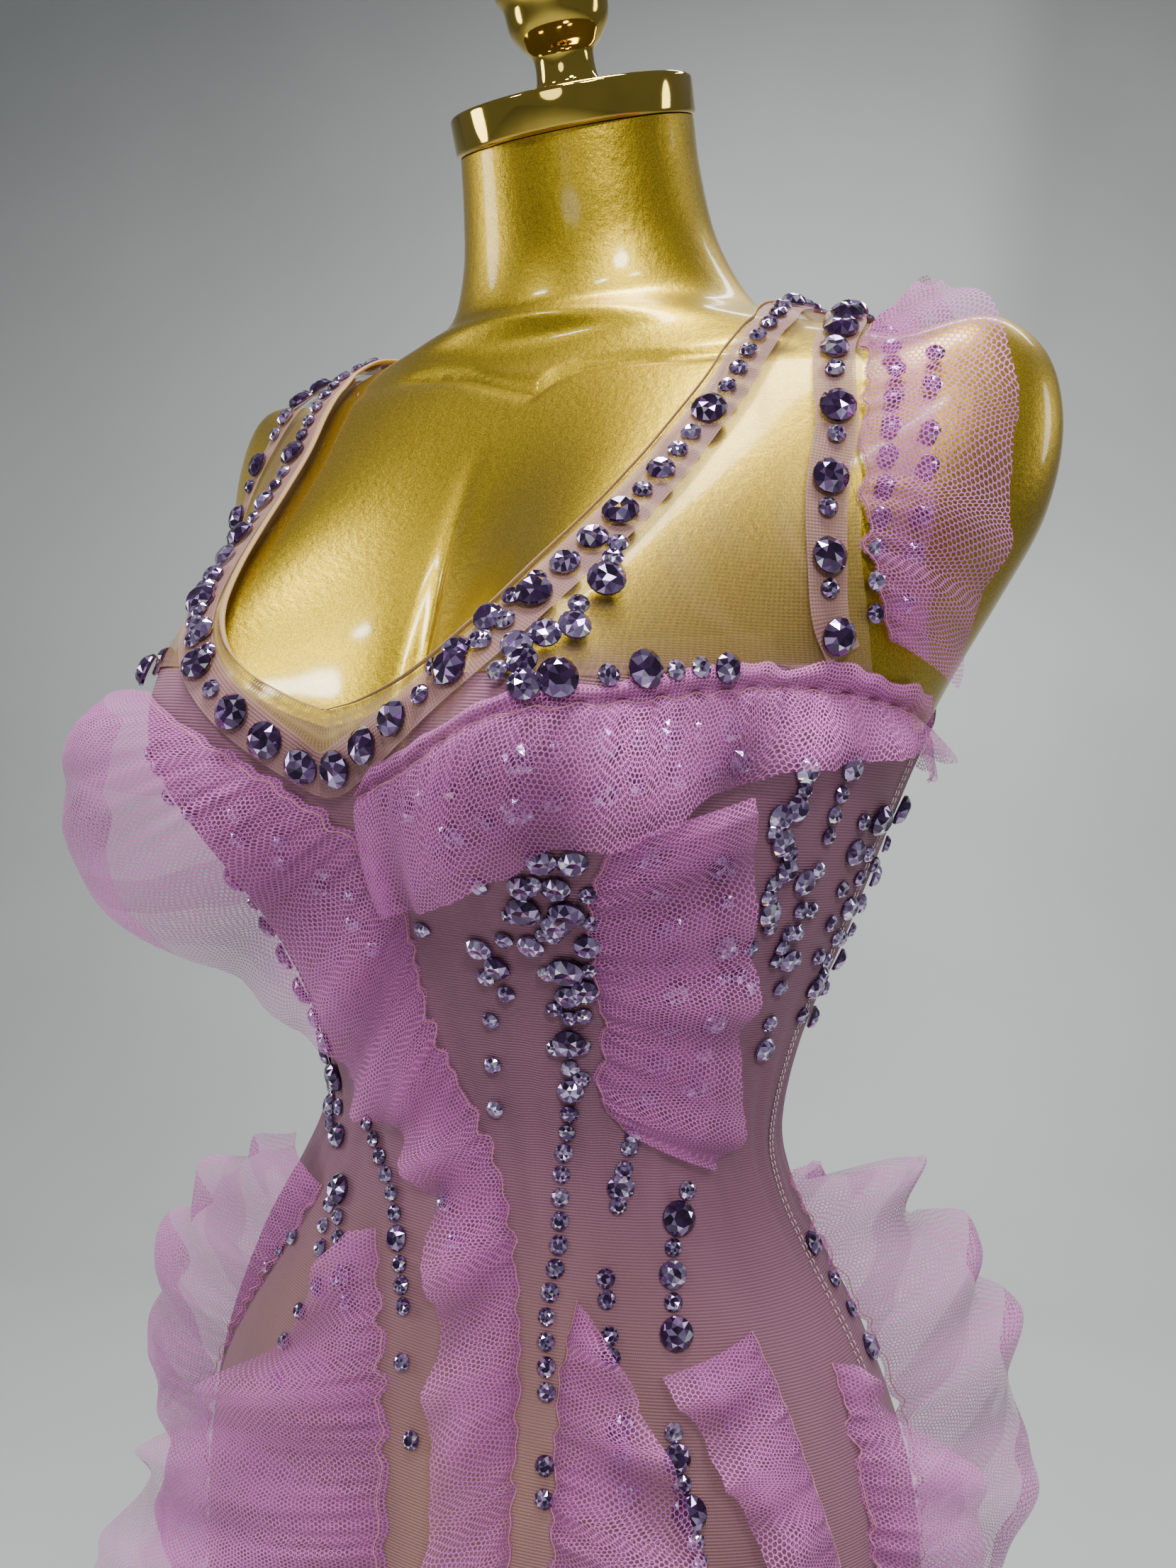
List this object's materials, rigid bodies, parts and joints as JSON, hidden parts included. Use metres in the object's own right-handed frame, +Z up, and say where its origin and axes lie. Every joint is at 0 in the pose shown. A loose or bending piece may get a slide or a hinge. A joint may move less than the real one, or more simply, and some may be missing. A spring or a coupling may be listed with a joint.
{
  "type": "mini dress on a limbless dress form with stand",
  "caption": "Sleeveless fitted mini dress with sheer yokes, tulle ruffles and cascades and set glass stones, worn by a limbless gold dress form on a round stand.",
  "frame": {"origin": "centre of the stand base's flat underside, on the floor", "axes": "+Z up along the pole; the form's front faces -Y; +X is the wearer's left side"},
  "size_m": [0.4712, 0.3925, 1.6031],
  "materials": {
    "form_gold": "hollow plastic torso sprayed metallic gold under a glossy clear coat",
    "polished_gold": "gold-plated steel, polished",
    "mauve_mesh": "semi-sheer dusty mauve stretch mesh with fine crosswise ribs",
    "sheer_mesh": "very sheer nude stretch mesh",
    "band_mesh": "doubled mauve mesh set with faceted amethyst and lilac glass stones",
    "orchid_tulle": "double layer of orchid pink hexagonal tulle, gathered, raw edge"
  },
  "bodies": {
    "root": {"form_torso": "form_gold", "neck_cap": "polished_gold", "neck_finial": "polished_gold", "stand_base": "polished_gold", "stand_pole": "polished_gold", "stand_collar": "polished_gold", "front_panel": "mauve_mesh", "back_panel": "mauve_mesh", "front_yoke_left": "sheer_mesh", "front_yoke_right": "sheer_mesh", "back_yoke_left": "sheer_mesh", "back_yoke_right": "sheer_mesh", "neckline_band": "band_mesh", "bust_band_left": "band_mesh", "bust_band_right": "band_mesh", "armhole_band_left": "band_mesh", "armhole_band_right": "band_mesh", "armhole_ruffle": "orchid_tulle", "bust_ruffle": "orchid_tulle", "under_bust_ruffle": "orchid_tulle", "bust_cascade": "orchid_tulle", "hip_cascade_right": "orchid_tulle", "side_cascade_right": "orchid_tulle", "hip_ruffle_centre": "orchid_tulle", "hip_ruffle_left": "orchid_tulle", "side_ruffle_left": "orchid_tulle", "side_cascade_left": "orchid_tulle", "back_cascade_left": "orchid_tulle", "back_cascade_centre": "orchid_tulle", "back_cascade_right": "orchid_tulle", "side_ruffle_right": "orchid_tulle", "bust_ruffle_right": "orchid_tulle", "back_bust_ruffle": "orchid_tulle"}
  },
  "joints": []
}
